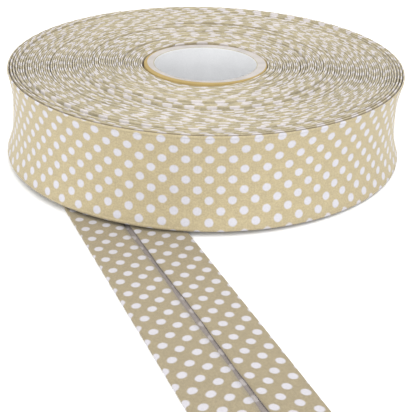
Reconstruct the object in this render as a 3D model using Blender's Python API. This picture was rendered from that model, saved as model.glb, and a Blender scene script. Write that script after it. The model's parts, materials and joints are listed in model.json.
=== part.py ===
"""Folded cotton bias binding wound flat on a paper tube, with its loose end lying on the table.

The roll stands on its flat side. Its left part rests on the loose end, and its far right rim on the table,
so it leans by about one degree. Z is up and the table is z = 0. Everything is first laid out around the
roll's axis, and then moved so that the origin is the middle of the part's footprint.
"""

import math

import bpy
from mathutils import Matrix, Vector

MM = 0.001

# The binding: a bias strip with both raw edges folded in
BINDING_WIDTH = 30.0 * MM
LAYER = 0.5 * MM
LAYER_GAP = 0.3 * MM
FLAP_GAP = 1.3 * MM
FLAP_GAP_WANDER = 0.2 * MM
FLAP_GAP_WAVE = 47.0 * MM

# The roll
ROLL_RADIUS = 66.9 * MM
BORE_RADIUS = 21.4 * MM
EDGE_DROP = 0.25 * MM
ROLL_SEGMENTS = 60

# The paper tube, pushed a little to one side in the bore
CORE_OUTER_RADIUS = 20.8 * MM
CORE_INNER_RADIUS = 17.2 * MM
CORE_TOP = 29.2 * MM
CORE_BOTTOM = 0.5 * MM
CORE_SHIFT = Vector((0.1 * MM, -0.2 * MM, 0.0))
CORE_SEGMENTS = 48

# The loose end: its middle line passes the roll's axis on the left, heading to the front right
TAIL_HEADING = math.radians(-68.36)
TAIL_OFFSET = -43.5 * MM
TAIL_HIDDEN_END = -20.0 * MM
TAIL_FRONT_END = 168.0 * MM
TAIL_STATIONS = 14
FOLD_SEGMENTS = 4

# Where the roll rests
CLEARANCE = 0.3 * MM
FLAT_SPOT_DEPTH = 0.08 * MM

# The wall between the two rims is drawn in, because the middle of the folded strip is its thinnest part. The
# lower rim flares out past the upper one, which has slipped a little to the right over the turns below.
WALL = [
    {"height": 29.7, "drawn_in": 0.0},
    {"height": 27.5, "drawn_in": 0.45},
    {"height": 24.5, "drawn_in": 1.05},
    {"height": 20.5, "drawn_in": 1.5},
    {"height": 15.0, "drawn_in": 1.55},
    {"height": 9.0, "drawn_in": 1.2},
    {"height": 5.5, "drawn_in": 0.6},
    {"height": 2.5, "drawn_in": -0.4},
    {"height": 0.3, "drawn_in": -0.87},
]
SLIP_TO_RIGHT = 0.6 * MM

# Groups of turns that stand higher or lower than the rim, from the rim to the bore. Outer is a share of the
# roll's radius, rise and sway are in millimetres, and turned is where around the roll the group stands highest.
# Of the innermost turns, the front ones lie below the end of the tube and the back ones stand above it.
TOP_STEPS = [
    {"outer": 1.000, "rise": 0.00, "sway": 0.00, "turned": 100},
    {"outer": 0.955, "rise": -0.50, "sway": 0.18, "turned": 20},
    {"outer": 0.915, "rise": -0.10, "sway": 0.18, "turned": 200},
    {"outer": 0.860, "rise": -0.45, "sway": 0.18, "turned": 310},
    {"outer": 0.780, "rise": -0.25, "sway": 0.18, "turned": 80},
    {"outer": 0.710, "rise": -0.60, "sway": 0.18, "turned": 150},
    {"outer": 0.655, "rise": 0.45, "sway": 0.18, "turned": 250},
    {"outer": 0.605, "rise": -0.35, "sway": 0.18, "turned": 40},
    {"outer": 0.580, "rise": 0.25, "sway": 0.18, "turned": 270},
    {"outer": 0.510, "rise": -0.30, "sway": 0.18, "turned": 180},
    {"outer": 0.425, "rise": -0.75, "sway": 0.55, "turned": 90},
]
BOTTOM_STEPS = [
    {"outer": 1.013, "rise": 0.00, "sway": 0.00, "turned": 100},
    {"outer": 0.940, "rise": 0.45, "sway": 0.18, "turned": 240},
    {"outer": 0.820, "rise": 0.20, "sway": 0.18, "turned": 60},
    {"outer": 0.700, "rise": 0.60, "sway": 0.18, "turned": 300},
    {"outer": 0.560, "rise": 0.30, "sway": 0.18, "turned": 170},
    {"outer": 0.430, "rise": 0.70, "sway": 0.18, "turned": 20},
]
STEP_WANDER = 0.35 * MM

COLOURS = {
    "binding_roll": {"colour": (0.60, 0.49, 0.28), "roughness": 0.9},
    "binding_tail": {"colour": (0.55, 0.44, 0.25), "roughness": 0.9},
    "tube_paper": {"colour": (0.72, 0.60, 0.36), "roughness": 0.8},
}

TAIL_THICKNESS = 2 * LAYER + LAYER_GAP
TAIL_ALONG = Vector((math.cos(TAIL_HEADING), math.sin(TAIL_HEADING), 0.0))
TAIL_ACROSS = Vector((-math.sin(TAIL_HEADING), math.cos(TAIL_HEADING), 0.0))


def clear_scene():
    for thing in list(bpy.data.objects):
        bpy.data.objects.remove(thing, do_unlink=True)


def make_material(name):
    look = COLOURS[name]
    material = bpy.data.materials.new(name)
    material.use_nodes = True
    shader = material.node_tree.nodes["Principled BSDF"]
    shader.inputs["Base Color"].default_value = (*look["colour"], 1.0)
    shader.inputs["Roughness"].default_value = look["roughness"]
    shader.inputs["Metallic"].default_value = 0.0
    return material


def add_object(name, points, faces, material):
    mesh = bpy.data.meshes.new(name)
    mesh.from_pydata([tuple(p) for p in points], [], faces)
    mesh.validate()
    mesh.shade_smooth()
    mesh.set_sharp_from_angle(angle=math.radians(35))
    mesh.materials.append(make_material(material))
    thing = bpy.data.objects.new(name, mesh)
    bpy.context.scene.collection.objects.link(thing)
    return thing


def turned_solid(profile_at, segments):
    """Points and faces of a ring. profile_at(angle) gives a closed outline of (radius, height) points, which
    runs up the outer side and back over the top."""
    points = []
    for i in range(segments):
        angle = 2 * math.pi * i / segments
        for radius, height in profile_at(angle):
            points.append(Vector((radius * math.cos(angle), radius * math.sin(angle), height)))
    around = len(points) // segments
    faces = []
    for i in range(segments):
        here = i * around
        there = ((i + 1) % segments) * around
        for j in range(around):
            k = (j + 1) % around
            faces.append((here + j, there + j, there + k, here + k))
    return points, faces


def swayed(step, angle, base):
    """Radius and height of a step's outer edge at an angle: the turns don't lie quite level or round."""
    turned = math.radians(step["turned"])
    wander = STEP_WANDER * math.sin(2 * angle + turned) if step["sway"] > 0 else 0.0
    sway = step["sway"] * MM * (math.cos(angle - turned) + 0.4 * math.sin(3 * angle + 2 * turned))
    return ROLL_RADIUS * step["outer"] + wander, base + step["rise"] * MM + sway


def stepped_face(steps, angle, base, side):
    """Outline of the top (side = 1) or bottom (side = -1) face, from the rim to the bore. Each step's outer
    edge is a folded edge, so it is slightly rounded off."""
    edges = [swayed(step, angle, base) for step in steps]
    outline = []
    for i, (radius, height) in enumerate(edges):
        inner = edges[i + 1][0] if i + 1 < len(edges) else BORE_RADIUS
        if i > 0:
            outline.append((radius, height - side * EDGE_DROP))
            outline.append((radius - EDGE_DROP, height))
        else:
            outline.append((radius - 2 * EDGE_DROP, height))
        if i + 1 < len(edges):
            outline.append((inner + EDGE_DROP / 2, height))
        else:
            outline.append((inner, height))
    return outline


def roll_profile(angle):
    wall = [(ROLL_RADIUS - row["drawn_in"] * MM, row["height"] * MM) for row in reversed(WALL)]
    top = stepped_face(TOP_STEPS, angle, BINDING_WIDTH, 1)
    bottom = stepped_face(BOTTOM_STEPS, angle, 0.0, -1)
    return wall + top + list(reversed(bottom))


def core_profile(angle):
    return [
        (CORE_OUTER_RADIUS, CORE_BOTTOM),
        (CORE_OUTER_RADIUS, CORE_TOP),
        (CORE_INNER_RADIUS, CORE_TOP),
        (CORE_INNER_RADIUS, CORE_BOTTOM),
    ]


def roll_lean():
    """Placing of the roll: it leans on the loose end's right edge and on the far right of its own rim."""
    lift = TAIL_THICKNESS + CLEARANCE
    tail_edge = TAIL_OFFSET + BINDING_WIDTH / 2
    rim = ROLL_RADIUS * BOTTOM_STEPS[0]["outer"] - 2 * EDGE_DROP
    lean = math.atan2(lift + FLAT_SPOT_DEPTH, rim - tail_edge)
    height = rim * math.tan(lean) - FLAT_SPOT_DEPTH
    return Matrix.Translation((0.0, 0.0, height)) @ Matrix.Rotation(-lean, 4, TAIL_ALONG)


def slipped(point):
    """The point moved sideways with its turn: the upper rim moves most, and nothing at the bore moves."""
    outward = (math.hypot(point.x, point.y) - BORE_RADIUS) / (ROLL_RADIUS - BORE_RADIUS)
    return point + Vector((SLIP_TO_RIGHT * outward * point.z / BINDING_WIDTH, 0.0, 0.0))


def make_roll(lean):
    points, faces = turned_solid(roll_profile, ROLL_SEGMENTS)
    points = [lean @ slipped(p) for p in points]
    for p in points:
        p.z = max(p.z, 0.0)
    return add_object("roll", points, faces, "binding_roll")


def make_core(lean):
    points, faces = turned_solid(core_profile, CORE_SEGMENTS)
    points = [lean @ (p + CORE_SHIFT) for p in points]
    return add_object("core", points, faces, "tube_paper")


def folded_section(flap_gap):
    """Middle line of the folded strip, from one raw edge round both folds to the other: (across, height) and
    the direction in which the strip's outer side faces."""
    bend = (LAYER + LAYER_GAP) / 2
    fold = BINDING_WIDTH / 2 - bend - LAYER / 2
    middle = TAIL_THICKNESS / 2
    line = [((flap_gap / 2, middle + bend), (0.0, 1.0))]
    for i in range(FOLD_SEGMENTS + 1):
        turn = math.pi / 2 - math.pi * i / FOLD_SEGMENTS
        out = (math.cos(turn), math.sin(turn))
        line.append(((fold + bend * out[0], middle + bend * out[1]), out))
    mirrored = [((-place[0], place[1]), (-out[0], out[1])) for place, out in reversed(line)]
    return line + mirrored


def make_tail():
    points = []
    for i in range(TAIL_STATIONS):
        along = TAIL_HIDDEN_END + (TAIL_FRONT_END - TAIL_HIDDEN_END) * i / (TAIL_STATIONS - 1)
        gap = FLAP_GAP + FLAP_GAP_WANDER * math.sin(2 * math.pi * along / FLAP_GAP_WAVE)
        section = folded_section(gap)
        for side in (1, -1):
            for (across, height), out in section:
                across = across + side * out[0] * LAYER / 2
                height = height + side * out[1] * LAYER / 2
                points.append(
                    TAIL_ALONG * along + TAIL_ACROSS * (TAIL_OFFSET + across) + Vector((0, 0, height))
                )
    count = len(folded_section(FLAP_GAP))
    ring = list(range(count)) + list(range(2 * count - 1, count - 1, -1))
    faces = []
    for i in range(TAIL_STATIONS - 1):
        here = i * 2 * count
        there = here + 2 * count
        for j, a in enumerate(ring):
            b = ring[(j + 1) % len(ring)]
            faces.append((here + a, there + a, there + b, here + b))
    last = (TAIL_STATIONS - 1) * 2 * count
    for j in range(count - 1):
        faces.append((j, j + 1, count + j + 1, count + j))
        faces.append((last + j, last + count + j, last + count + j + 1, last + j + 1))
    return add_object("tail", points, faces, "binding_tail")


def centre_on_footprint(things):
    """Moves the meshes so that the origin is the middle of the whole part's footprint, on the table."""
    places = [v.co for thing in things for v in thing.data.vertices]
    middle = Vector((
        (min(p.x for p in places) + max(p.x for p in places)) / 2,
        (min(p.y for p in places) + max(p.y for p in places)) / 2,
        0.0,
    ))
    for thing in things:
        thing.data.transform(Matrix.Translation(-middle))


def main():
    clear_scene()
    lean = roll_lean()
    centre_on_footprint([make_roll(lean), make_core(lean), make_tail()])


main()
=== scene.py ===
"""The looks of a roll of dotted cotton bias binding: the winding, its paper tube and its loose end.

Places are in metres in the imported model's frame. Shapes are written in millimetres around the roll's own
axis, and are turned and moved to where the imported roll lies.
"""

import json
import math

import bpy
import numpy as np
from mathutils import Matrix, Vector


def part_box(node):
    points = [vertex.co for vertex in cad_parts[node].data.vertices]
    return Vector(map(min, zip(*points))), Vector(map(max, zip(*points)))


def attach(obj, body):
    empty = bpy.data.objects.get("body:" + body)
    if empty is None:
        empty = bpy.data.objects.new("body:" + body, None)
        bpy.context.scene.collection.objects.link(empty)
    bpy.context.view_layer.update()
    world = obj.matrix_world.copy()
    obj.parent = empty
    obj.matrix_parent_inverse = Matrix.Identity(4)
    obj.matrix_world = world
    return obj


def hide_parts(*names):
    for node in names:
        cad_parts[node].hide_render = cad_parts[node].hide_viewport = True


MM = 0.001

# The roll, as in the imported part. Its waist is drawn in, and its foot is flared.
ROLL_RADIUS = 66.9
BORE_RADIUS = 21.4
BINDING_WIDTH = 30.0
WAIST_ROWS = [
    {"height": 30.0, "drawn_in": 0.0},
    {"height": 27.5, "drawn_in": 0.45},
    {"height": 24.5, "drawn_in": 1.05},
    {"height": 20.5, "drawn_in": 1.5},
    {"height": 15.0, "drawn_in": 1.55},
    {"height": 9.0, "drawn_in": 1.2},
    {"height": 5.5, "drawn_in": 0.6},
    {"height": 2.5, "drawn_in": -0.4},
    {"height": 0.0, "drawn_in": -0.9},
]
# The rim's turns have slipped a little to one side over the ones below
SLIP_TO_RIGHT = 0.6
# Steps in its faces, from the rim inwards: the share of the radius where a step comes, how far the turns
# stand up from there on, how much that sways around the roll, and towards which azimuth it is turned
TOP_STEPS = [
    {"outer": 1.000, "rise": 0.00, "sway": 0.00, "turned": 100},
    {"outer": 0.990, "rise": 0.20, "sway": 0.10, "turned": 260},
    {"outer": 0.955, "rise": -0.35, "sway": 0.15, "turned": 90},
    {"outer": 0.918, "rise": -0.08, "sway": 0.16, "turned": 270},
    {"outer": 0.885, "rise": -0.40, "sway": 0.18, "turned": 310},
    {"outer": 0.780, "rise": -0.25, "sway": 0.18, "turned": 80},
    {"outer": 0.730, "rise": -0.06, "sway": 0.42, "turned": 90},
    {"outer": 0.660, "rise": 0.10, "sway": 0.10, "turned": 270},
    {"outer": 0.620, "rise": 0.70, "sway": 0.12, "turned": 270},
    {"outer": 0.595, "rise": 0.35, "sway": 0.30, "turned": 270},
    {"outer": 0.520, "rise": -0.15, "sway": 0.18, "turned": 180},
    {"outer": 0.425, "rise": -0.75, "sway": 0.55, "turned": 90},
]
BOTTOM_STEPS = [
    {"outer": 1.013, "rise": 0.00, "sway": 0.00, "turned": 100},
    {"outer": 0.940, "rise": 0.45, "sway": 0.18, "turned": 240},
    {"outer": 0.820, "rise": 0.20, "sway": 0.18, "turned": 60},
    {"outer": 0.700, "rise": 0.60, "sway": 0.18, "turned": 300},
    {"outer": 0.560, "rise": 0.30, "sway": 0.18, "turned": 170},
    {"outer": 0.430, "rise": 0.70, "sway": 0.18, "turned": 20},
]

# The winding: its drawn turns, the tape's thickness, and how loosely its last turns lie
TURNS = 60
TAPE = 0.55
LOOSE_OUTSIDE = 0.6
LOOSE_TURNS = 3.0
# The azimuth of the tape's outer end
START_ANGLE = math.radians(120.0)
# A step comes within this part of a turn, and this share of its sway has three waves around the roll
STEP_SHIFT = 0.10
STEP_SWAY_THIRD = 0.4
# The meshes that the winding is drawn as, by their first and last turns, and the points around each turn
BANDS = [
    {"name": "winding_outer", "first": 0, "last": 18, "samples": 352},
    {"name": "winding_middle", "first": 18, "last": 38, "samples": 304},
    {"name": "winding_inner", "first": 38, "last": 60, "samples": 256},
]
# The tape's edges, from its outer side to its inner one: the place across the tape's thickness, how far below
# the ridge it lies, its height in the print, and how strong the crevice's painted shade is there
EDGE_TOP = [
    {"across": 0.00, "drop": 0.40, "v": 28.95, "deep": 0.46},
    {"across": 0.18, "drop": 0.10, "v": 29.50, "deep": 0.0},
    {"across": 0.50, "drop": 0.00, "v": 30.00, "deep": 0.0},
    {"across": 0.82, "drop": 0.10, "v": 30.50, "deep": 0.0},
    {"across": 1.00, "drop": 0.40, "v": 31.05, "deep": 0.18},
]
EDGE_BOTTOM = [
    {"across": 0.10, "drop": 0.06, "v": 0.20, "deep": 0.0},
    {"across": 0.90, "drop": 0.06, "v": -0.20, "deep": 0.0},
]
# On the outermost turn only the rows from this one on count as fold and take its painted light, because its
# outer side is in full view
FIRST_FOLD_ROW = 4
# How deep the crevices between the turns are, also where the turns stand apart, and how strongly they are
# darkened with painted shade
CREVICE_DEPTH = 0.85
CREVICE_BY_GAP = 3
CREVICE_MOST = 2.5
CREVICE_PAINTED_SHADE = 0.80
# Their painted shade is strongest near the rim, around this turn
RIM_PAINTED_SHADE = {"more": 0.5, "turn": 1.5, "fade": 2.0}
# A row of points a little over each crevice's bottom, where its painted shade is this strong
SHOULDER = {"over_crevice": 0.45, "under_edge": 0.05, "inset": 0.01, "deep": 0.45}
# The outer side of a turn that stands this far above its neighbour is nearly free of that painted shade
SHOWN_SIDE = {"height": 0.45, "deep": 0.05}
# On the folds the dots look wider
FOLD_SPREAD = 0.28
# Rows of points down a wall that shows, and down one between two of the meshes
WALL_ROWS = 27
HIDDEN_ROWS = 7
# Gaps between turns: after how many turns, towards which azimuth, how wide an arc, and how far they open
OPENINGS = [
    {"turn": 1, "towards": 225, "arc": 100, "open": 0.10},
    {"turn": 2, "towards": 270, "arc": 80, "open": 0.15},
    {"turn": 3, "towards": 300, "arc": 100, "open": 0.14},
    {"turn": 7, "towards": 190, "arc": 45, "open": 0.22},
    {"turn": 18, "towards": 175, "arc": 40, "open": 0.22},
    {"turn": 28, "towards": 185, "arc": 50, "open": 0.20},
    {"turn": 45, "towards": 30, "arc": 60, "open": 0.20},
    {"turn": 58, "towards": 10, "arc": 45, "open": -0.30},
]
# An opening comes within this part of a turn, and fades over this many turns further in
OPENING_SHIFT = 0.3
OPENING_FADE = 12.0
# The lower edges stand about this far off the table
BOTTOM_LIFT = 0.12
# Fine unevenness from turn to turn: turns that lie near are alike where the waves drift slowly
UNEVEN = {
    "top_slow": {"seed": 11, "count": 14, "slowest": 0.02, "fastest": 0.10, "size": 0.10},
    "top_fast": {"seed": 12, "count": 14, "slowest": 0.25, "fastest": 0.50, "size": 0.14},
    "bottom": {"seed": 21, "count": 10, "slowest": 0.1, "fastest": 0.5, "size": 0.5},
    "print_along": {"seed": 31, "count": 8, "slowest": 0.03, "fastest": 0.3, "size": 2.2},
    "print_across": {"seed": 41, "count": 6, "slowest": 0.02, "fastest": 0.06, "size": 1.0},
    "spacing": {"seed": 51, "count": 12, "slowest": 0.25, "fastest": 0.50, "size": 0.035},
}
# The outermost turns are even: each of these starts after so many turns, and grows over so many more
STARTS = {
    "height": {"after": 0.6, "over": 2.0},
    "spacing": {"after": 1.0, "over": 1.0},
    "print": {"after": 0.9, "over": 1.5},
    "shown_sides": {"after": 3.0, "over": 2.0},
}

# The print: white dots on a square grid that is turned by 45 degrees
DOT_PITCH = 6.55
DOT_RADIUS = 1.24
DOT_SOFT = 0.26
DOT_RAGGED = 0.18
# A row of dots lies at this height of the tape, and a column at this azimuth of the outer turn
DOT_V = 2.4
DOT_COLUMN_AZIMUTH = math.radians(270.6)
# The print is measured in the waist, this far inside the rims
WALL_MEAN_INSET = 2.3
# The tape's cut ends all take their tone from this place in the print
CUT_END_PLACE = (0.0, -30.0)
# The rows climb along the tape, in millimetres each millimetre
ROW_TILT = 0.0161
# How far the print strays along and across the tape where the outer turn's front was pulled unevenly.
# y runs from -1 at the lower edge to 1 at the upper one, and x is the way along the tape, in STRAY_UNIT
# and no more than STRAY_MOST. It strays less and less between the two STRAY_ENDS.
STRAY_ALONG = {"y": 0.43, "x": -3.10, "xy": -0.75, "xxx": 2.38}
STRAY_ACROSS = {"one": -0.28, "y": 0.08, "x": 0.15, "xx": 1.40, "xy": -0.40, "xxx": 0.49, "xxy": 1.52}
STRAY_UNIT = 100.0
STRAY_MOST = 0.9
STRAY_ENDS = (84.0, 150.0)
# Turns whose wall shows at the front: where a dot lies there, as an azimuth and a height on the tape
SHOWN_TURNS = [
    {"turn": 7.42, "wide": 0.5, "dot_azimuth": 272.7, "dot_height": 29.5},
    {"turn": 30.42, "wide": 0.5, "dot_azimuth": 272.3, "dot_height": 29.2},
    {"turn": 34.42, "wide": 0.5, "dot_azimuth": 265.9, "dot_height": 29.4},
]

# The paper tube, a little out of round
TUBE_OUTER = 20.8
TUBE_INNER = 17.2
TUBE_TOP = 29.2
TUBE_BOTTOM = 0.5
TUBE_SHIFT = Vector((0.1, -0.2, 0.0))
TUBE_SEGMENTS = 144
TUBE_OVAL = 0.06
TUBE_THREE_SIDED = 0.03
TUBE_DIP = 0.05
# The tube's materials
INSIDE, END, OUTSIDE, INNER_EDGE = range(4)
# The brown outer plies show at the end's rim, and wider on one part of it than elsewhere
KRAFT_LEAST = 0.30
KRAFT_MORE = {"width": 1.5, "towards": 242.0, "arc": 128.0}
# The ring where they end is uneven, so the paper's tone counts the way to it and from it as this long
KRAFT_RING = 4
KRAFT_WALK = 1.0

# The loose end: its heading, how far beside the roll's axis it runs, and where it ends
TAIL_HEADING = math.radians(-68.36)
TAIL_OFFSET = -43.5
TAIL_HIDDEN_END = -20.0
TAIL_FRONT_END = 168.0
TAIL_WIDTH = 30.0
CLOTH = 0.32
TAIL_THICKNESS = 1.05
TAIL_STATIONS = 127
# How many points its section has on each flap, each fold and the lower face
FLAP_POINTS = 9
FOLD_POINTS = 9
FACE_POINTS = 12
# The flaps sink towards their raw edges, and puff up a little here and there
FLAP_SAG = 0.30
FLAP_BOW = 0.06
PUFFS = [
    {"size": 0.03, "each_radian": 9.0, "phase": 0.0},
    {"size": 0.02, "each_radian": 3.7, "phase": 1.0},
]
# The gap between the raw edges: half its width, how that varies, and where the gap's middle lies
GAP_HALF = 0.72
GAP_WAVES = [
    {"size": 0.13, "length": 47.0, "phase": 0.6},
    {"size": 0.05, "length": 13.0, "phase": 0.0},
]
GAP_MIDDLE = [
    {"along": -20, "across": -0.7},
    {"along": 52, "across": -0.5},
    {"along": 100, "across": 0.45},
    {"along": 145, "across": 1.15},
    {"along": 168, "across": 1.4},
]
# How far the print is shifted at TAIL_PRINT_FROM along the loose end, across and along it, and how much more
# for each further millimetre. v is the place across the unfolded strip.
TAIL_PRINT_FROM = 100.0
TAIL_PRINT = [
    {"v": -15.0, "across": -0.49, "tilt": 0.026, "along": 0.3, "stretch": 0.020},
    {"v": 0.0, "across": -1.04, "tilt": 0.012, "along": -1.8, "stretch": -0.001},
    {"v": 30.0, "across": -1.04, "tilt": 0.009, "along": -0.8, "stretch": -0.017},
    {"v": 44.5, "across": -0.79, "tilt": 0.031, "along": -0.6, "stretch": 0.021},
]

# The camera, from the roll's axis where it meets the table
CAMERA_PLACE = Vector((0.0, -337.0, 146.7))
CAMERA_PITCH = math.radians(26.86)
CAMERA_YAW = math.radians(0.33)
CAMERA_ROLL = math.radians(0.43)
CAMERA_LENS = 90.0

# White light from all round, stronger overhead, and one large soft lamp in front, with its sizes in metres
WORLD_LEVEL = 0.66
WORLD_ZENITH = 1.90
LAMP = {"place": (-0.05, -1.10, 0.55), "size": 1.0, "power": 5.7}
# The lamp aims this far above the roll's foot
LAMP_AIM = Vector((0, 0, 0.015))
# The floor in metres: half its side, and how far it lies under the part
FLOOR_HALF = 3.0
FLOOR_UNDER = 0.05 * MM

COLOURS = {
    "beige": (0.414, 0.349, 0.217),
    # Painted light: a paler copy of beige for the winding's upper folds, as light caught by the fold's
    # threads
    "beige_fold_painted_light": (0.404, 0.354, 0.240),
    # Painted shade: a darker copy of beige for the loose end
    "beige_tail_painted_shade": (0.285, 0.238, 0.152),
    "dot": (0.526, 0.520, 0.566),
    # Painted light: a paler copy of dot for the winding's upper folds
    "dot_fold_painted_light": (0.579, 0.546, 0.543),
    # Painted shade: a darker copy of dot for the loose end
    "dot_tail_painted_shade": (0.490, 0.475, 0.505),
    # Painted shade: the dark colour mixed into the cloth in the crevices between turns
    "crevice": (0.145, 0.098, 0.050),
    "wrong_side": (0.240, 0.212, 0.198),
    "wrong_side_light": (0.36, 0.33, 0.32),
    "tube_inside": (0.650, 0.655, 0.665),
    "tube_edge": (0.36, 0.33, 0.23),
    "tube_end": (0.445, 0.415, 0.395),
    "tube_outside": (0.37, 0.27, 0.105),
    "floor": (0.96, 0.96, 0.96),
}

# How a material's tone varies: a noise, the part of its range that counts, and the tones at that part's ends
TONES = {
    "wall": {"scale": 0.35, "detail": 3, "rough": 0.5, "between": (0.3, 0.7), "tones": (0.95, 1.04)},
    "fold": {"scale": 0.22, "detail": 3, "rough": 0.6, "between": (0.32, 0.68), "tones": (0.76, 1.20)},
    "thread": {"scale": 1.7, "detail": 3, "rough": 0.7, "between": (0.3, 0.7), "tones": (0.85, 1.13)},
    "wrong_side": {"scale": 1.5, "detail": 2, "rough": 0.5, "between": (0.3, 0.7), "tones": (0.92, 1.06)},
}
# The weave: how wide a thread is, and how much it shows in the tone of the cloth, its ink and its wrong side
THREAD = 0.30
WEAVE_TONE = 0.05
INK_TONE_SHARE = 0.4
WRONG_SIDE_WEAVE_TONE = 0.06
# The slanting edge of the paper's ply
PLY_SLANT = 1.15
PLY_PITCH = math.pi * TUBE_OUTER / 2


def mount(record, name):
    for row in record["mounts"]:
        if row["name"] == name:
            return row
    raise ValueError(f"the record has no mount named {name}")


def roll_matrix(record):
    """From millimetres around the roll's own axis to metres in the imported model's frame."""
    end = mount(record, "tube_end")
    axis = Vector(end["axis"]).normalized()
    low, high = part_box("roll")
    middle = (low + high) / 2
    up_from_foot = (middle - Vector(end["pos_m"])).dot(axis) + TUBE_TOP * MM
    foot = middle - axis * up_from_foot
    turn = Vector((0, 0, 1)).rotation_difference(axis).to_matrix().to_4x4()
    return Matrix.Translation(foot) @ turn @ Matrix.Scale(MM, 4)


def table_matrix(roll):
    """The same place, but level on the table, for the loose end and the camera."""
    foot = roll.translation
    return Matrix.Translation((foot.x, foot.y, 0.0)) @ Matrix.Scale(MM, 4)


def smooth(x):
    x = np.clip(x, 0.0, 1.0)
    return x * x * (3 - 2 * x)


def close_by(distance, reach):
    """1 up to half the reach, and 0 past one and a half of it."""
    return smooth(1.5 - distance / reach)


def passed(tau, place, width):
    """0 before a place along the winding and 1 after it, over a width around it."""
    return smooth((tau - place) / width + 0.5)


def started(tau, what):
    """0 on the outermost turns and 1 further in, as a row of STARTS says."""
    return smooth((tau - STARTS[what]["after"]) / STARTS[what]["over"])


def waves(tau, seed, count, slowest, fastest, size):
    """A smooth random line along the winding. Each wave goes round a whole number of times in a turn, and
    drifts a little from turn to turn."""
    dice = np.random.default_rng(seed)
    line = np.zeros_like(tau)
    for _ in range(count):
        around = dice.integers(0, 4)
        drift = dice.uniform(slowest, fastest) * dice.choice([-1, 1])
        phase = dice.uniform(0, 2 * math.pi)
        line += dice.uniform(0.6, 1.0) * np.sin(2 * math.pi * (around + drift) * tau + phase)
    return size * line / math.sqrt(count)


def angle_of(tau):
    return START_ANGLE + 2 * math.pi * tau


def step_height(steps, tau):
    """Height that the table of steps gives, with each step reached a little at a time along the tape."""
    angle = angle_of(tau)

    def lifted(step):
        turned = math.radians(step["turned"])
        sway = np.cos(angle - turned) + STEP_SWAY_THIRD * np.sin(3 * angle + 2 * turned)
        return step["rise"] + step["sway"] * sway

    height = lifted(steps[0])
    for step in steps[1:]:
        reached = (1 - step["outer"]) * ROLL_RADIUS / (ROLL_RADIUS - BORE_RADIUS) * TURNS
        share = passed(tau, reached, STEP_SHIFT)
        height = height * (1 - share) + lifted(step) * share
    return height


def top_height(tau):
    """Height of the tape's upper edge."""
    rough = started(tau, "height")
    line = step_height(TOP_STEPS, tau)
    line = line + rough * waves(tau, **UNEVEN["top_slow"])
    line = line + rough * waves(tau, **UNEVEN["top_fast"])
    return BINDING_WIDTH + line


def bottom_height(tau):
    """Height of the tape's lower edge."""
    lift = BOTTOM_LIFT * started(tau, "height") * (1 + waves(tau, **UNEVEN["bottom"]))
    return step_height(BOTTOM_STEPS, tau) + lift


def outer_radius(tau):
    """Outer side of the tape at its rims. The last turns lie looser, and gaps open here and there."""
    close = ROLL_RADIUS - BORE_RADIUS - LOOSE_OUTSIDE
    radius = ROLL_RADIUS - close * tau / TURNS - LOOSE_OUTSIDE * (1 - np.exp(-tau / LOOSE_TURNS))
    radius = radius + started(tau, "spacing") * waves(tau, **UNEVEN["spacing"])
    for gap in OPENINGS:
        away = angle_of(tau) - math.radians(gap["towards"])
        away = np.abs((away + math.pi) % (2 * math.pi) - math.pi)
        fade = np.exp(-np.maximum(tau - gap["turn"], 0) / OPENING_FADE)
        opened = passed(tau, gap["turn"], OPENING_SHIFT) * fade
        radius = radius - gap["open"] * close_by(away, math.radians(gap["arc"])) * opened
    return radius


def drawn_in(height):
    """How far the outer turn's wall lies inside its rim."""
    heights = [row["height"] for row in reversed(WAIST_ROWS)]
    depths = [row["drawn_in"] for row in reversed(WAIST_ROWS)]
    return np.interp(height, heights, depths)


def wall_levels(rows):
    """Rows down a wall from just under the rim to just over the floor, as shares of its height."""
    return (1 - np.cos(np.linspace(0.0, math.pi, rows))) / 2


def arc_length(tau, samples):
    """Length along the tape from its outer end, measured where the print is, in the waist of the wall."""
    radius = outer_radius(tau) - WALL_MEAN_INSET
    pieces = (radius[1:] + radius[:-1]) / 2 * 2 * math.pi / samples
    return np.concatenate([[0.0], np.cumsum(pieces)])


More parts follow.
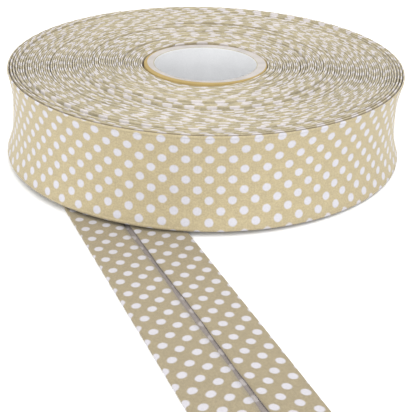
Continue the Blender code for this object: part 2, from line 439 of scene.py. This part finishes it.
class Band:
    """Some turns of the winding as one closed mesh. Its faces follow the tape's edge, and its crevices lie
    between one turn and the next."""

    def __init__(self, first, last, samples, length_before):
        self.samples = samples
        self.tape_count = (last - first) * samples + 1
        self.tau = first + np.arange(self.tape_count + samples) / samples
        self.radius = outer_radius(self.tau)
        self.inner = self.radius - TAPE
        self.top = top_height(self.tau)
        self.bottom = bottom_height(self.tau)
        length = arc_length(self.tau, samples)
        self.length = length + length_before
        self.length_after = self.length[self.tape_count - 1]
        inside = started(self.tau, "print")
        self.slip = waves(self.tau, **UNEVEN["print_along"]) * inside
        self.drift = waves(self.tau, **UNEVEN["print_across"]) * inside - ROW_TILT * self.length
        for row in SHOWN_TURNS:
            self.place_dot(row)

    def place_dot(self, row):
        """Shift the print around one turn, so that a dot lies at the place that the row names."""
        azimuth = math.radians(row["dot_azimuth"]) - START_ANGLE
        tau = azimuth / (2 * math.pi)
        tau += round(row["turn"] - tau)
        if not self.tau[0] <= tau <= self.tau[-1]:
            return
        u = np.interp(tau, self.tau, self.length + self.slip)
        v = np.interp(tau, self.tau, self.drift) + row["dot_height"] - DOT_V
        near = close_by(np.abs(self.tau - tau), row["wide"])
        self.slip -= near * (u - DOT_PITCH * round(u / DOT_PITCH))
        self.drift -= near * (v - DOT_PITCH * round(v / DOT_PITCH))

    def print_place(self, length, part, height):
        """The place in the print of points at this length and height along a part of the tape."""
        x = np.clip(length / STRAY_UNIT, -STRAY_MOST, STRAY_MOST)
        y = (height - BINDING_WIDTH / 2) / (BINDING_WIDTH / 2)
        pulled = smooth((STRAY_ENDS[1] - np.abs(length)) / (STRAY_ENDS[1] - STRAY_ENDS[0]))
        terms = {"one": 1.0, "y": y, "x": x, "xx": x * x, "xy": x * y, "xxx": x ** 3, "xxy": x * x * y}
        along = sum(size * terms[name] for name, size in STRAY_ALONG.items())
        across = sum(size * terms[name] for name, size in STRAY_ACROSS.items())
        return pairs(length + self.slip[part] + pulled * along, height + self.drift[part] + pulled * across)

    def crevices(self):
        """Radius, top height and bottom height of the crevice outside each turn, and inside the last one."""
        s = self.samples
        n = self.tape_count
        radius = self.radius.copy()
        radius[s:] = (self.inner[:-s] + self.radius[s:]) / 2
        radius[n:] = self.inner[n - s:-s]
        gap = np.zeros_like(radius)
        gap[s:] = np.maximum(self.inner[:-s] - self.radius[s:], 0.0)
        depth = np.minimum(CREVICE_DEPTH + CREVICE_BY_GAP * gap, CREVICE_MOST)
        top = self.top.copy()
        top[s:] = np.minimum(self.top[:-s], self.top[s:])
        top[n:] = self.top[n - s:-s]
        bottom = self.bottom.copy()
        bottom[s:] = np.maximum(self.bottom[:-s], self.bottom[s:])
        bottom[n:] = self.bottom[n - s:-s]
        return radius, top - depth, bottom + CREVICE_DEPTH


def pairs(u, v):
    """Places in the print, with the two parts side by side."""
    return np.stack([u, v], axis=-1)


def between_rows(a, b):
    """The four corners of the faces between two rows of points, in order."""
    return [a[:-1], a[1:], b[1:], b[:-1]]


class MeshMaker:
    """Collects points and faces with their places in the print."""

    def __init__(self):
        self.points = []
        self.count = 0
        self.faces = []
        self.uvs = []
        self.depths = []
        self.folds = []
        self.slots = []

    def add_points(self, x, y, z):
        first = self.count
        block = np.stack([np.ravel(x), np.ravel(y), np.ravel(z)], axis=1)
        self.points.append(block)
        self.count += len(block)
        return first

    def add_quads(self, corners, uvs, slot=0, depths=None, fold=0.0, flip=False):
        """corners is four arrays of ids and uvs four arrays of places, in the order of the face's corners,
        which flip turns round. depths says in the same way how strong the painted crevice shade is at each
        corner, from 0 to 1, and fold is 1 on the tape's upper fold."""
        ids = np.stack([np.ravel(c) for c in corners], axis=1)
        if depths is None:
            depths = [np.zeros(len(ids))] * 4
        depths = np.stack([np.ravel(d) for d in depths], axis=1)
        places = np.stack([place.reshape(-1, 2) for place in uvs], axis=1)
        if flip:
            ids, depths, places = ids[:, ::-1], depths[:, ::-1], places[:, ::-1]
        self.faces.append(ids)
        self.depths.append(depths.ravel())
        self.folds.append(np.repeat(np.broadcast_to(fold, len(ids)), 4))
        self.uvs.append(places.reshape(-1, 2))
        self.slots.append(np.full(len(ids), slot))

    def add_cut_face(self, ids, flip):
        """A face of the tape's cut end, in one tone."""
        ids = [int(i) for i in ids]
        if flip:
            ids.reverse()
        self.faces.append(np.array([ids]))
        self.depths.append(np.zeros(len(ids)))
        self.folds.append(np.zeros(len(ids)))
        self.uvs.append(np.array([CUT_END_PLACE] * len(ids), float))
        self.slots.append(np.array([0]))

    def build(self, name, matrix, materials):
        mesh = bpy.data.meshes.new(name)
        points = np.concatenate(self.points)
        faces = [row for block in self.faces for row in block.tolist()]
        mesh.from_pydata(points.tolist(), [], faces)
        mesh.polygons.foreach_set("material_index", np.concatenate(self.slots).astype(np.int32))
        cloth = mesh.uv_layers.new(name="cloth")
        cloth.data.foreach_set("uv", np.concatenate(self.uvs).astype(np.float32).ravel())
        # A second map holds, from 0 to 1, the painted crevice shade and the share of the upper fold
        crevice = mesh.uv_layers.new(name="crevice")
        both = np.stack([np.concatenate(self.depths), np.concatenate(self.folds)], axis=1)
        crevice.data.foreach_set("uv", both.astype(np.float32).ravel())
        mesh.transform(matrix)
        for material in materials:
            mesh.materials.append(material)
        mesh.shade_smooth()
        thing = bpy.data.objects.new(name, mesh)
        bpy.context.scene.collection.objects.link(thing)
        return thing


def around(radius, tau, height):
    """Where a point of the winding lies: towards the rim, the upper edges have slipped a little sideways."""
    angle = angle_of(tau)
    share = (radius - BORE_RADIUS) / (ROLL_RADIUS - BORE_RADIUS)
    slip = SLIP_TO_RIGHT * share * height / BINDING_WIDTH
    return radius * np.cos(angle) + slip, radius * np.sin(angle), height


def add_shoulder(maker, band, level, crevice_place, radius):
    """A row of points on the side of a crevice, a little over its bottom. Returns their ids and heights."""
    z = np.minimum(crevice_place + SHOULDER["over_crevice"], level - SHOULDER["under_edge"])
    n = band.tape_count
    return maker.add_points(*around(radius, band.tau[:n], z)) + np.arange(n), z


def edge_face(maker, band, profile, height, crevice_ids, crevice_place, side, flare):
    """The top (side = 1) or bottom (side = -1) face: a strip over the tape's edge between two crevices."""
    n = band.tape_count
    s = band.samples
    tau = band.tau[:n]
    radius = band.radius[:n]
    rows = []
    levels = []
    for point in profile:
        levels.append(height[:n] - side * point["drop"])
        ring = around(radius - TAPE * point["across"] + flare[:n], tau, levels[-1])
        rows.append(maker.add_points(*ring) + np.arange(n))
    rows = [crevice_ids[:n]] + rows + [crevice_ids[s:s + n]]
    outside = tau < 1
    # Painted crevice shade for each row, from 0 to 1: none on the outer side of the outermost turn, and
    # stronger near the rim
    deep = np.where(outside, 0.0, 1.0)
    depths = [deep] + [point["deep"] * (deep if point["across"] < 0.5 else np.ones(n)) for point in profile]
    rim = 1 + RIM_PAINTED_SHADE["more"] * np.exp(-np.abs(tau - RIM_PAINTED_SHADE["turn"]) / RIM_PAINTED_SHADE["fade"])
    depths = [np.minimum(row * rim, 1.0) for row in depths] + [np.ones(n)]
    first_v, last_v = profile[0]["v"], profile[-1]["v"]
    places = [first_v - (levels[0] - crevice_place[:n])]
    places += [np.full(n, point["v"]) for point in profile]
    places += [last_v + (levels[-1] - crevice_place[s:s + n])]
    fold = 0.0
    if side > 0:
        places[0] = np.where(outside, crevice_place[:n], places[0])
        for i, point in enumerate(profile):
            if point["across"] < 0.5:
                places[i + 1] = np.where(outside, levels[i], places[i + 1])
        row, z = add_shoulder(maker, band, levels[0], crevice_place[:n], radius - SHOULDER["inset"])
        # Less painted shade where a turn's outer side stands in view above its neighbour
        shown = smooth((levels[0] - z - SHOULDER["under_edge"]) / SHOWN_SIDE["height"])
        hidden = 1 - shown * started(tau, "shown_sides")
        depths[1] = depths[1] * hidden
        rows.insert(1, row)
        depths.insert(1, deep * (SHOWN_SIDE["deep"] + (1 - SHOWN_SIDE["deep"]) * hidden) * SHOULDER["deep"])
        places.insert(1, np.where(outside, z, first_v - (levels[0] - z)))
        inner = radius - TAPE + SHOULDER["inset"]
        row, z = add_shoulder(maker, band, levels[-1], crevice_place[s:s + n], inner)
        rows.insert(-1, row)
        depths.insert(-1, np.full(n, SHOULDER["deep"]))
        places.insert(-1, last_v + (levels[-1] - z))
    printed = [band.print_place(band.length[:n], slice(0, n), place) for place in places]
    for j in range(len(rows) - 1):
        if side > 0:
            fold = np.where(outside[:-1], float(j >= FIRST_FOLD_ROW), 1.0)
        corners, uvs, shades = (between_rows(x[j], x[j + 1]) for x in (rows, printed, depths))
        maker.add_quads(corners, uvs, 0, shades, fold, flip=side < 0)
    return rows


def wall(maker, band, start, radius, top_ids, bottom_ids, top, bottom, waist, rows, facing):
    """One side wall from the top crevice row to the bottom one. facing = 1 looks outwards, -1 inwards."""
    s = band.samples
    part = slice(start, start + s + 1)
    tau = band.tau[part]
    levels = wall_levels(rows + 2)[1:-1]
    high = top[part]
    low = bottom[part]
    grid = [top_ids[part]]
    heights = [high]
    for level in levels:
        height = high + (low - high) * level
        rim = radius[part] - waist * drawn_in(height)
        grid.append(maker.add_points(*around(rim, tau, height)) + np.arange(s + 1))
        heights.append(height)
    grid.append(bottom_ids[part])
    heights.append(low)
    length = band.length[part] if facing > 0 else band.length[part] - band.length[s] + band.length[0]
    printed = [band.print_place(length, part, height) for height in heights]
    for i in range(len(grid) - 1):
        corners, uvs = ([x[i][:-1], x[i + 1][:-1], x[i + 1][1:], x[i][1:]] for x in (grid, printed))
        maker.add_quads(corners, uvs, flip=facing < 0)
    return grid


def cap(maker, grid, top_row, bottom_row, facing):
    """The tape's cut end: it closes the step between the first and the last column of a wall."""
    for above, below in zip(grid[:-1], grid[1:]):
        maker.add_cut_face([above[0], above[-1], below[-1], below[0]], facing < 0)
    maker.add_cut_face(top_row, facing < 0)
    maker.add_cut_face(bottom_row, facing > 0)


def make_band(row, length_before, matrix, material):
    """One mesh of the winding, and the length of tape up to its end."""
    band = Band(row["first"], row["last"], row["samples"], length_before)
    maker = MeshMaker()
    n = band.tape_count
    total = len(band.tau)
    radius, top, bottom = band.crevices()
    flare = -drawn_in(0.0) * (1 - band.tau / TURNS)
    top_ids = maker.add_points(*around(radius, band.tau, top)) + np.arange(total)
    bottom_ids = maker.add_points(*around(radius + flare, band.tau, bottom)) + np.arange(total)
    upper = edge_face(maker, band, EDGE_TOP, band.top, top_ids, top, 1, 0 * flare)
    lower = edge_face(maker, band, EDGE_BOTTOM, band.bottom, bottom_ids, bottom, -1, flare)
    outer_waist = 1 - row["first"] / TURNS
    inner_waist = 1 - row["last"] / TURNS
    outer_rows = WALL_ROWS if row["first"] == 0 else HIDDEN_ROWS
    inner_rows = WALL_ROWS if row["last"] == TURNS else HIDDEN_ROWS
    outer = wall(maker, band, 0, radius, top_ids, bottom_ids, top, bottom, outer_waist, outer_rows, 1)
    inner = wall(maker, band, n - 1, radius, top_ids, bottom_ids, top, bottom, inner_waist, inner_rows, -1)
    cap(maker, outer, [r[0] for r in upper], [r[0] for r in lower], 1)
    cap(maker, inner, [r[-1] for r in upper], [r[-1] for r in lower], -1)
    thing = maker.build(row["name"], matrix, [material])
    return thing, band.length_after


def make_winding(matrix, material):
    pieces = []
    turned = DOT_COLUMN_AZIMUTH - START_ANGLE
    length = -turned * (ROLL_RADIUS - WALL_MEAN_INSET)
    for row in BANDS:
        thing, length = make_band(row, length, matrix, material)
        pieces.append(thing)
    return pieces


def tube_profile(kraft):
    """The tube's section, up its outer side, over its end and down its bore: the radius and height of each
    ring, and the material from there to the next one. kraft is the radius where the brown plies end."""
    return [
        {"radius": TUBE_OUTER, "height": TUBE_BOTTOM + 0.15, "material": OUTSIDE},
        {"radius": TUBE_OUTER, "height": TUBE_TOP * 0.5, "material": OUTSIDE},
        {"radius": TUBE_OUTER, "height": TUBE_TOP - 0.14, "material": OUTSIDE},
        {"radius": TUBE_OUTER - 0.14, "height": TUBE_TOP - 0.02, "material": OUTSIDE},
        {"radius": kraft, "height": TUBE_TOP, "material": END},
        {"radius": TUBE_INNER + 0.40, "height": TUBE_TOP, "material": INNER_EDGE},
        {"radius": TUBE_INNER + 0.12, "height": TUBE_TOP - 0.08, "material": INSIDE},
        {"radius": TUBE_INNER, "height": TUBE_TOP - 0.3, "material": INSIDE},
        {"radius": TUBE_INNER, "height": TUBE_TOP * 0.75, "material": INSIDE},
        {"radius": TUBE_INNER, "height": TUBE_TOP * 0.5, "material": INSIDE},
        {"radius": TUBE_INNER, "height": TUBE_TOP * 0.25, "material": INSIDE},
        {"radius": TUBE_INNER, "height": TUBE_BOTTOM + 0.15, "material": END},
        {"radius": TUBE_INNER + 0.15, "height": TUBE_BOTTOM, "material": END},
        {"radius": TUBE_OUTER - 0.15, "height": TUBE_BOTTOM, "material": OUTSIDE},
    ]


def make_tube(matrix, materials):
    """A wound paper tube, a little out of round, with rounded edges."""
    maker = MeshMaker()
    angle = np.arange(TUBE_SEGMENTS) / TUBE_SEGMENTS * 2 * math.pi
    out_of_round = TUBE_OVAL * np.cos(2 * angle + 0.8) + TUBE_THREE_SIDED * np.sin(3 * angle)
    away = (angle - math.radians(KRAFT_MORE["towards"]) + math.pi) % (2 * math.pi) - math.pi
    wider = KRAFT_MORE["width"] * smooth(1 - np.abs(away) / math.radians(KRAFT_MORE["arc"]))
    profile = tube_profile(TUBE_OUTER - KRAFT_LEAST - wider)
    rows = []
    walked = [0.0]
    last = profile[0]
    for row in profile:
        r = row["radius"] + out_of_round
        dip = TUBE_DIP * np.sin(2 * angle + 1.0) if row["height"] > TUBE_TOP / 2 else 0.0 * angle
        x, y = r * np.cos(angle) + TUBE_SHIFT.x, r * np.sin(angle) + TUBE_SHIFT.y
        rows.append(maker.add_points(x, y, row["height"] + dip) + np.arange(TUBE_SEGMENTS))
        if row is not profile[0]:
            beside_kraft = row is profile[KRAFT_RING] or last is profile[KRAFT_RING]
            across, up = row["radius"] - last["radius"], row["height"] - last["height"]
            walked.append(walked[-1] + (KRAFT_WALK if beside_kraft else math.hypot(across, up)))
        last = row
    walked.append(walked[-1] + KRAFT_WALK)
    u = np.arange(TUBE_SEGMENTS) * 2 * math.pi / TUBE_SEGMENTS * TUBE_OUTER
    step = u[1] - u[0]
    for i, row in enumerate(profile):
        a, b = rows[i], rows[(i + 1) % len(profile)]
        va, vb = walked[i] + 0 * u, walked[i + 1] + 0 * u
        corners = [a, np.roll(a, -1), np.roll(b, -1), b]
        uvs = [pairs(u, va), pairs(u + step, va), pairs(u + step, vb), pairs(u, vb)]
        maker.add_quads(corners, uvs, row["material"])
    return maker.build("paper_tube", matrix, materials)


def tail_gap(along):
    """Half width and middle of the gap between the two folded-in edges."""
    half = GAP_HALF
    for wave in GAP_WAVES:
        half += wave["size"] * np.sin(along * 2 * math.pi / wave["length"] + wave["phase"])
    middle = np.interp(along, [row["along"] for row in GAP_MIDDLE], [row["across"] for row in GAP_MIDDLE])
    return half, middle


def tail_section(along):
    """The cloth's middle line at one place along the strip: (across, height, outward) for each point, from
    the right raw edge out to the right fold, under to the left fold, and back to the left raw edge."""
    half, middle = tail_gap(along)
    bend = (TAIL_THICKNESS - CLOTH) / 2
    centre = TAIL_THICKNESS / 2
    fold = TAIL_WIDTH / 2 - bend - CLOTH / 2
    puff = sum(row["size"] * math.sin(along / row["each_radian"] + row["phase"]) for row in PUFFS)

    def leg(side):
        """One flap and its fold, from the raw edge on."""
        edge = middle + side * half
        points = []
        for i in range(FLAP_POINTS):
            share = i / FLAP_POINTS
            across = edge + (side * fold - edge) * share
            sag = FLAP_SAG * (1 - share) ** 2 + FLAP_BOW * math.sin(math.pi * share) - puff * (1 - share)
            points.append((across, centre + bend - sag, (0.0, 1.0)))
        for i in range(FOLD_POINTS):
            turn = math.pi / 2 - math.pi * i / (FOLD_POINTS - 1)
            out = (side * math.cos(turn), math.sin(turn))
            points.append((side * fold + bend * out[0], centre + bend * out[1], out))
        return points

    face = []
    for i in range(1, FACE_POINTS):
        face.append((fold - 2 * fold * i / FACE_POINTS, centre - bend, (0.0, -1.0)))
    return leg(1) + face + leg(-1)[::-1]


def make_tail(matrix, materials):
    """The loose end: one cloth, right side out, folded in from both sides, with its wrong side inside."""
    count = len(tail_section(0.0))
    stations = np.linspace(TAIL_HIDDEN_END, TAIL_FRONT_END, TAIL_STATIONS)
    heading = np.array([math.cos(TAIL_HEADING), math.sin(TAIL_HEADING)])
    across_way = np.array([-heading[1], heading[0]])
    outer = np.zeros((TAIL_STATIONS, count, 3))
    inner = np.zeros((TAIL_STATIONS, count, 3))
    places = np.zeros((TAIL_STATIONS, count))
    for i, along in enumerate(stations):
        section = tail_section(along)
        walked = 0.0
        last = section[0]
        for j, (across, height, out) in enumerate(section):
            walked += math.hypot(across - last[0], height - last[1])
            last = (across, height)
            for points, side in ((outer, 1), (inner, -1)):
                a = across + side * out[0] * CLOTH / 2
                place = heading * along + across_way * (TAIL_OFFSET + a)
                points[i, j] = (place[0], place[1], height + side * out[1] * CLOTH / 2)
            places[i, j] = walked
        fold_place = places[i, FLAP_POINTS + FOLD_POINTS // 2]
        places[i] = BINDING_WIDTH + fold_place - places[i]
    maker = MeshMaker()
    maker.add_points(outer[..., 0], outer[..., 1], outer[..., 2])
    maker.add_points(inner[..., 0], inner[..., 1], inner[..., 2])
    total = TAIL_STATIONS * count
    ids = np.arange(total).reshape(TAIL_STATIONS, count)

    along = np.repeat(stations[:, None], count, axis=1)
    further = along - TAIL_PRINT_FROM
    knots = [row["v"] for row in TAIL_PRINT]
    shift = {name: np.interp(places, knots, [row[name] for row in TAIL_PRINT]) for name in TAIL_PRINT[0]}
    print_u = along + shift["along"] + shift["stretch"] * further
    print_v = places + shift["across"] + shift["tilt"] * further
    printed = pairs(print_u, print_v)

    for surface, slot in ((ids, 0), (ids + total, 1)):
        corners, uvs = ([x[:-1, :-1], x[1:, :-1], x[1:, 1:], x[:-1, 1:]] for x in (surface, printed))
        maker.add_quads(corners, uvs, slot, flip=slot == 1)
    rims = [(ids[:, 0], printed[:, 0], True), (ids[:, -1], printed[:, -1], False)]
    ends = [(ids[0], printed[0], False), (ids[-1], printed[-1], True)]
    for row, place, flip in rims + ends:
        maker.add_quads(between_rows(row, row + total), between_rows(place, place), 1, flip=flip)
    return maker.build("loose_end", matrix, materials)


class Nodes:
    """Short calls for a material's nodes."""

    def __init__(self, name):
        self.material = bpy.data.materials.new(name)
        self.material.use_nodes = True
        self.tree = self.material.node_tree
        self.shader = self.tree.nodes["Principled BSDF"]

    def put(self, socket, value):
        if isinstance(value, bpy.types.NodeSocket):
            self.tree.links.new(value, socket)
        else:
            socket.default_value = value

    def math(self, operation, a, b=0.0, c=0.0):
        node = self.tree.nodes.new("ShaderNodeMath")
        node.operation = operation
        for socket, value in zip(node.inputs, (a, b, c)):
            self.put(socket, value)
        return node.outputs[0]

    def mix(self, share, a, b, blend="MIX"):
        node = self.tree.nodes.new("ShaderNodeMix")
        node.data_type = "RGBA"
        node.blend_type = blend
        self.put(node.inputs[0], share)
        for socket, value in ((node.inputs[6], a), (node.inputs[7], b)):
            self.put(socket, (*value, 1.0) if isinstance(value, tuple) else value)
        return node.outputs[2]

    def mix_values(self, share, a, b):
        """a where share is 0 and b where it is 1."""
        return self.math("ADD", a, self.math("MULTIPLY", share, self.math("SUBTRACT", b, a)))

    def noise(self, place, scale, detail, rough):
        node = self.tree.nodes.new("ShaderNodeTexNoise")
        self.put(node.inputs["Vector"], place)
        node.inputs["Scale"].default_value = scale
        node.inputs["Detail"].default_value = detail
        node.inputs["Roughness"].default_value = rough
        return node.outputs["Fac"]

    def between(self, value, low, high, to_low=0.0, to_high=1.0, kind="SMOOTHSTEP"):
        node = self.tree.nodes.new("ShaderNodeMapRange")
        node.interpolation_type = kind
        self.put(node.inputs["Value"], value)
        node.inputs["From Min"].default_value = low
        node.inputs["From Max"].default_value = high
        node.inputs["To Min"].default_value = to_low
        node.inputs["To Max"].default_value = to_high
        return node.outputs[0]

    def uv_place(self, name):
        """A place in a UV map: as a vector, and as its two parts. In the map named cloth it is the place in
        the cloth in millimetres. In the one named crevice its parts say, from 0 to 1, how strong the painted
        crevice shade is there and how far it belongs to the upper fold."""
        place = self.tree.nodes.new("ShaderNodeUVMap")
        place.uv_map = name
        parts = self.tree.nodes.new("ShaderNodeSeparateXYZ")
        self.tree.links.new(place.outputs[0], parts.inputs[0])
        return place.outputs[0], parts.outputs[0], parts.outputs[1]

    def tone(self, place, row):
        """A tone that varies as a row of TONES says."""
        noise = self.noise(place, row["scale"], row["detail"], row["rough"])
        return self.between(noise, *row["between"], *row["tones"], "LINEAR")

    def shaded(self, colour, tone):
        """A colour with its brightness multiplied by a tone."""
        grey = self.tree.nodes.new("ShaderNodeCombineColor")
        for socket in grey.inputs:
            self.tree.links.new(tone, socket)
        return self.mix(1.0, colour, grey.outputs[0], "MULTIPLY")

    def surface(self, colour, roughness, specular):
        self.put(self.shader.inputs["Base Color"], (*colour, 1.0) if isinstance(colour, tuple) else colour)
        self.shader.inputs["Roughness"].default_value = roughness
        self.shader.inputs["Specular IOR Level"].default_value = specular

    def bump(self, height, distance, strength):
        node = self.tree.nodes.new("ShaderNodeBump")
        node.inputs["Strength"].default_value = strength
        node.inputs["Distance"].default_value = distance
        self.put(node.inputs["Height"], height)
        self.put(self.shader.inputs["Normal"], node.outputs[0])


def dots(nodes, place, u, v, fold=None):
    """1 in a dot and 0 beside it. The dots' edges are a little soft and uneven, as the ink leaves them."""
    half = DOT_PITCH / 2
    du = nodes.math("PINGPONG", u, half)
    dv = nodes.math("PINGPONG", nodes.math("SUBTRACT", v, DOT_V), half)

    def far(x, y):
        squares = nodes.math("ADD", nodes.math("MULTIPLY", x, x), nodes.math("MULTIPLY", y, y))
        return nodes.math("SQRT", squares)

    from_next = far(nodes.math("SUBTRACT", half, du), nodes.math("SUBTRACT", half, dv))
    near = nodes.math("MINIMUM", far(du, dv), from_next)
    ragged = nodes.math("MULTIPLY_ADD", nodes.noise(place, 1.1, 3.0, 0.6), 2 * DOT_RAGGED, -DOT_RAGGED)
    near = nodes.math("ADD", near, ragged)
    if fold is not None:
        near = nodes.math("SUBTRACT", near, nodes.math("MULTIPLY", fold, FOLD_SPREAD))
    return nodes.between(near, DOT_RADIUS + DOT_SOFT, DOT_RADIUS - DOT_SOFT)


def weave_height(nodes, u, v):
    """Plain weave on the bias: threads at 45 degrees to the strip, in crossing ridges."""
    turn = math.pi / THREAD / math.sqrt(2)
    along = nodes.math("MULTIPLY", nodes.math("ADD", u, v), turn)
    over = nodes.math("MULTIPLY", nodes.math("SUBTRACT", u, v), turn)
    return nodes.math("MULTIPLY", nodes.math("SINE", along), nodes.math("SINE", over))


def cloth_material(name, beige, ink):
    """The printed cloth. Its colours change a little on the winding's folds, paler there as painted light,
    and its crevices are darkened with painted shade.
    """
    nodes = Nodes(name)
    place, u, v = nodes.uv_place("cloth")
    _, deep, fold = nodes.uv_place("crevice")
    weave = weave_height(nodes, u, v)
    tone = nodes.mix_values(fold, nodes.tone(place, TONES["wall"]), nodes.tone(place, TONES["fold"]))
    tone = nodes.math("MULTIPLY", tone, nodes.tone(place, TONES["thread"]))
    tone = nodes.math("MULTIPLY", tone, nodes.math("MULTIPLY_ADD", weave, WEAVE_TONE, 1.0))
    ink_tone = nodes.math("MULTIPLY_ADD", nodes.math("SUBTRACT", tone, 1.0), INK_TONE_SHARE, 1.0)
    # Painted light: paler ground and ink on the upper folds
    ground = nodes.shaded(nodes.mix(fold, beige, COLOURS["beige_fold_painted_light"]), tone)
    ink = nodes.shaded(nodes.mix(fold, ink, COLOURS["dot_fold_painted_light"]), ink_tone)
    cloth = nodes.mix(dots(nodes, place, u, v, fold), ground, ink)
    # Painted shade: the crevices' dark colour mixed into the cloth
    cloth = nodes.mix(nodes.math("MULTIPLY", deep, CREVICE_PAINTED_SHADE), cloth, COLOURS["crevice"])
    nodes.surface(cloth, 0.85, 0.25)
    nodes.shader.inputs["Sheen Weight"].default_value = 0.22
    nodes.shader.inputs["Sheen Roughness"].default_value = 0.45
    height = nodes.math("MULTIPLY_ADD", weave, 0.5, nodes.noise(place, 2.0, 3.0, 0.6))
    nodes.bump(height, 0.06 * MM, 0.5)
    return nodes.material


def wrong_side_material():
    """The cloth's wrong side, where the print only shows through faintly."""
    nodes = Nodes("binding wrong side")
    place, u, v = nodes.uv_place("cloth")
    weave = weave_height(nodes, u, v)
    tone = nodes.math("MULTIPLY_ADD", weave, WRONG_SIDE_WEAVE_TONE, nodes.tone(place, TONES["wrong_side"]))
    ground = nodes.shaded(COLOURS["wrong_side"], tone)
    nodes.surface(nodes.mix(dots(nodes, place, u, v), ground, COLOURS["wrong_side_light"]), 0.95, 0.2)
    nodes.bump(weave, 0.05 * MM, 0.5)
    return nodes.material


def paper_material(name, colour, stains, roughness, fibres):
    """Pressed paper: soft stains, fine fibres, and on the tube's walls the slanting edge of the wound ply."""
    nodes = Nodes(name)
    place, u, v = nodes.uv_place("cloth")
    fibre = nodes.noise(place, fibres, 4.0, 0.65)
    fibre_tone = nodes.between(fibre, 0.25, 0.75, 0.955, 1.035, "LINEAR")
    stain = nodes.noise(place, 0.18, 3.0, 0.5)
    stain_tone = nodes.between(stain, 0.3, 0.7, 1.0 - stains, 1.0 + stains / 2, "LINEAR")
    seam = nodes.math("PINGPONG", nodes.math("MULTIPLY_ADD", v, PLY_SLANT, u), PLY_PITCH)
    line = nodes.between(seam, 0.0, 0.35, 0.985, 1.0)
    tone = nodes.math("MULTIPLY", nodes.math("MULTIPLY", fibre_tone, stain_tone), line)
    nodes.surface(nodes.shaded(colour, tone), roughness, 0.3)
    nodes.bump(nodes.math("MULTIPLY_ADD", fibre, 0.5, line), 0.05 * MM, 0.4)
    return nodes.material


def make_floor():
    mesh = bpy.data.meshes.new("floor")
    half = FLOOR_HALF
    corners = [(-half, -half, 0), (half, -half, 0), (half, half, 0), (-half, half, 0)]
    mesh.from_pydata(corners, [], [(0, 1, 2, 3)])
    floor = bpy.data.objects.new("floor", mesh)
    floor.location.z = -FLOOR_UNDER
    bpy.context.scene.collection.objects.link(floor)
    nodes = Nodes("floor")
    nodes.surface(COLOURS["floor"], 0.9, 0.1)
    mesh.materials.append(nodes.material)


def make_world():
    """White light from all round that grows with the height over the horizon."""
    world = bpy.data.worlds.new("studio")
    world.use_nodes = True
    tree = world.node_tree
    background = tree.nodes["Background"]
    background.inputs["Color"].default_value = (1.0, 1.0, 1.0, 1.0)
    direction = tree.nodes.new("ShaderNodeTexCoord")
    parts = tree.nodes.new("ShaderNodeSeparateXYZ")
    tree.links.new(direction.outputs["Generated"], parts.inputs[0])
    level = tree.nodes.new("ShaderNodeMapRange")
    level.inputs["From Min"].default_value = 0.0
    level.inputs["From Max"].default_value = 1.0
    level.inputs["To Min"].default_value = WORLD_LEVEL
    level.inputs["To Max"].default_value = WORLD_ZENITH
    tree.links.new(parts.outputs[2], level.inputs["Value"])
    tree.links.new(level.outputs[0], background.inputs["Strength"])
    bpy.context.scene.world = world


def make_lamp(middle):
    """One large soft lamp in front of the roll."""
    lamp = bpy.data.lights.new("soft_front", "AREA")
    lamp.shape = "DISK"
    lamp.size = LAMP["size"]
    lamp.energy = LAMP["power"]
    thing = bpy.data.objects.new("soft_front", lamp)
    thing.location = LAMP["place"]
    thing.rotation_euler = (middle - Vector(LAMP["place"])).to_track_quat("-Z", "Y").to_euler()
    bpy.context.scene.collection.objects.link(thing)


def make_camera(matrix):
    camera = bpy.data.cameras.new("camera")
    camera.lens = CAMERA_LENS
    camera.sensor_width = 36.0
    camera.clip_start = 0.01
    ahead = Vector((
        math.sin(CAMERA_YAW) * math.cos(CAMERA_PITCH),
        math.cos(CAMERA_YAW) * math.cos(CAMERA_PITCH),
        -math.sin(CAMERA_PITCH),
    ))
    level = ahead.cross(Vector((0, 0, 1))).normalized()
    upright = level.cross(ahead)
    right = level * math.cos(CAMERA_ROLL) + upright * math.sin(CAMERA_ROLL)
    up = upright * math.cos(CAMERA_ROLL) - level * math.sin(CAMERA_ROLL)
    turn = Matrix((right, up, -ahead)).transposed().to_4x4()
    thing = bpy.data.objects.new("camera", camera)
    thing.matrix_world = Matrix.Translation(matrix @ CAMERA_PLACE) @ turn
    bpy.context.scene.collection.objects.link(thing)
    bpy.context.scene.camera = thing


with open("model.json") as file:
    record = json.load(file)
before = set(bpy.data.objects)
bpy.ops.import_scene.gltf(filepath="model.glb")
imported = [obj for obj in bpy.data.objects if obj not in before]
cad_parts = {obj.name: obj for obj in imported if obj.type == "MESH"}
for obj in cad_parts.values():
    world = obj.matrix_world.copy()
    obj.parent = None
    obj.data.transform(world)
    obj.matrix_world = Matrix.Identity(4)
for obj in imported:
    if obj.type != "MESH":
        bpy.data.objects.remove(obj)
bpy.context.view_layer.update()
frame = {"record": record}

roll = roll_matrix(frame["record"])
table = table_matrix(roll)
make_camera(table)
make_world()
make_lamp(roll.translation + LAMP_AIM)
make_floor()
bpy.context.scene.view_settings.view_transform = "Standard"

winding = make_winding(roll, cloth_material("binding", COLOURS["beige"], COLOURS["dot"]))
for piece in winding:
    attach(piece, "root")
    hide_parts("roll")

tube = make_tube(roll, [
    paper_material("tube inside", COLOURS["tube_inside"], stains=0.02, roughness=0.75, fibres=1.6),
    paper_material("tube end", COLOURS["tube_end"], stains=0.13, roughness=0.9, fibres=2.5),
    paper_material("tube outside", COLOURS["tube_outside"], stains=0.10, roughness=0.8, fibres=1.2),
    paper_material("tube inner edge", COLOURS["tube_edge"], stains=0.10, roughness=0.85, fibres=1.2),
])
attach(tube, "root")
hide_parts("core")

# The loose end's cloth takes darker copies of the binding's colours: painted shade
tail = make_tail(table, [
    cloth_material("binding loose end", COLOURS["beige_tail_painted_shade"], COLOURS["dot_tail_painted_shade"]),
    wrong_side_material(),
])
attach(tail, "root")
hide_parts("tail")
